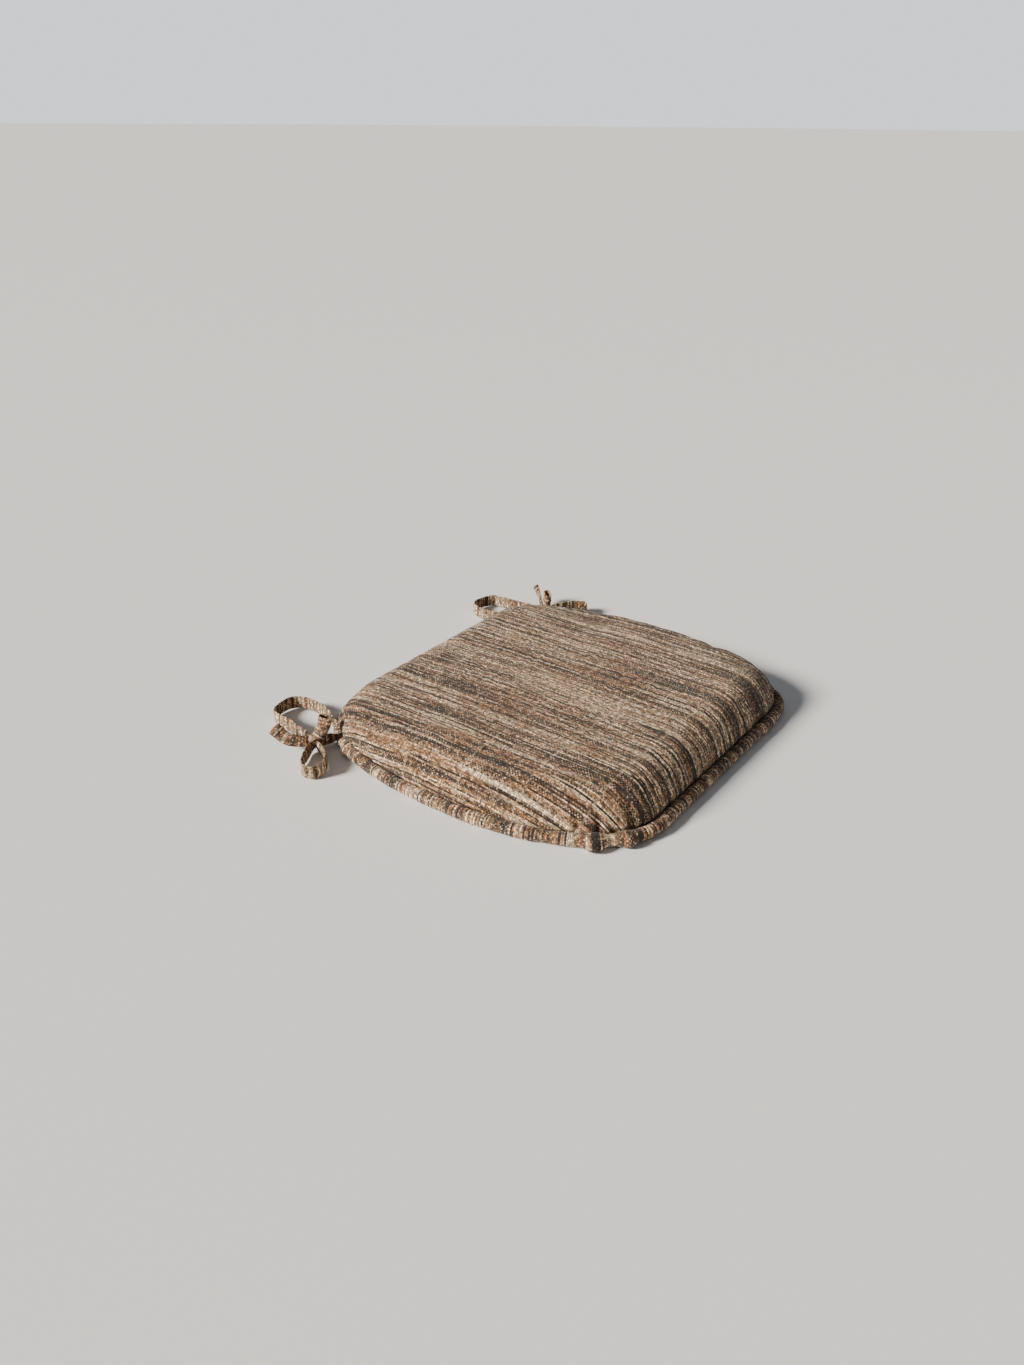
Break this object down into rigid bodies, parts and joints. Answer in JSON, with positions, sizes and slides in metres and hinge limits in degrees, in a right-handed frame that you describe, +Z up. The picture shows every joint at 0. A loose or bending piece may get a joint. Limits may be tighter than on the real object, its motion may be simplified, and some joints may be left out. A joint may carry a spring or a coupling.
{
  "type": "chair seat pad",
  "caption": "Piped, domed fabric chair seat pad with a foam core, a zip in its back edge and tie straps knotted for two chair posts.",
  "frame": {"origin": "under the middle of the pad's base, on the surface that the pad lies on", "axes": "+Z up; +X across the pad to its right as a sitter faces, -Y its front edge, +Y its back edge with the zip and the ties"},
  "size_m": [0.4684, 0.4171, 0.0503],
  "materials": {
    "woven_cloth": "matte",
    "cotton_cord": "matte",
    "foam": "matte",
    "wadding": "matte",
    "zip_tape": "matte",
    "zip_coil": "satin",
    "zip_metal": "satin"
  },
  "bodies": {
    "cushion": {"top_cover": "woven_cloth", "base_panel": "woven_cloth", "piping_cover": "woven_cloth", "foam_core": "foam", "fibre_wadding": "wadding", "piping_cord": "cotton_cord", "zip_tape_upper": "zip_tape", "zip_tape_lower": "zip_tape", "zip_teeth_upper": "zip_coil", "zip_teeth_lower": "zip_coil", "zip_top_stop_upper": "zip_metal", "zip_top_stop_lower": "zip_metal", "zip_bottom_stop": "zip_metal", "tie_left_back_strap": "woven_cloth", "tie_left_front_strap": "woven_cloth", "tie_left_loop": "woven_cloth", "tie_left_long_tail": "woven_cloth", "tie_left_short_tail": "woven_cloth", "tie_left_knot": "woven_cloth", "tie_right_back_strap": "woven_cloth", "tie_right_front_strap": "woven_cloth", "tie_right_loop": "woven_cloth", "tie_right_long_tail": "woven_cloth", "tie_right_short_tail": "woven_cloth", "tie_right_knot": "woven_cloth"},
    "slider": {"zip_slider": "zip_metal"},
    "puller": {"zip_puller": "zip_metal"}
  },
  "joints": [
    {"name": "zip_slide", "type": "slide", "parent": "cushion", "child": "slider", "axis": [-1, 0, 0], "range_m": [0, 0.189]},
    {"name": "puller_turn", "type": "hinge", "parent": "slider", "child": "puller", "pos_m": [0.0947, 0.16926, 0.02239], "axis": [0, 0.4325, -0.9017], "range_deg": [0, 165]}
  ]
}
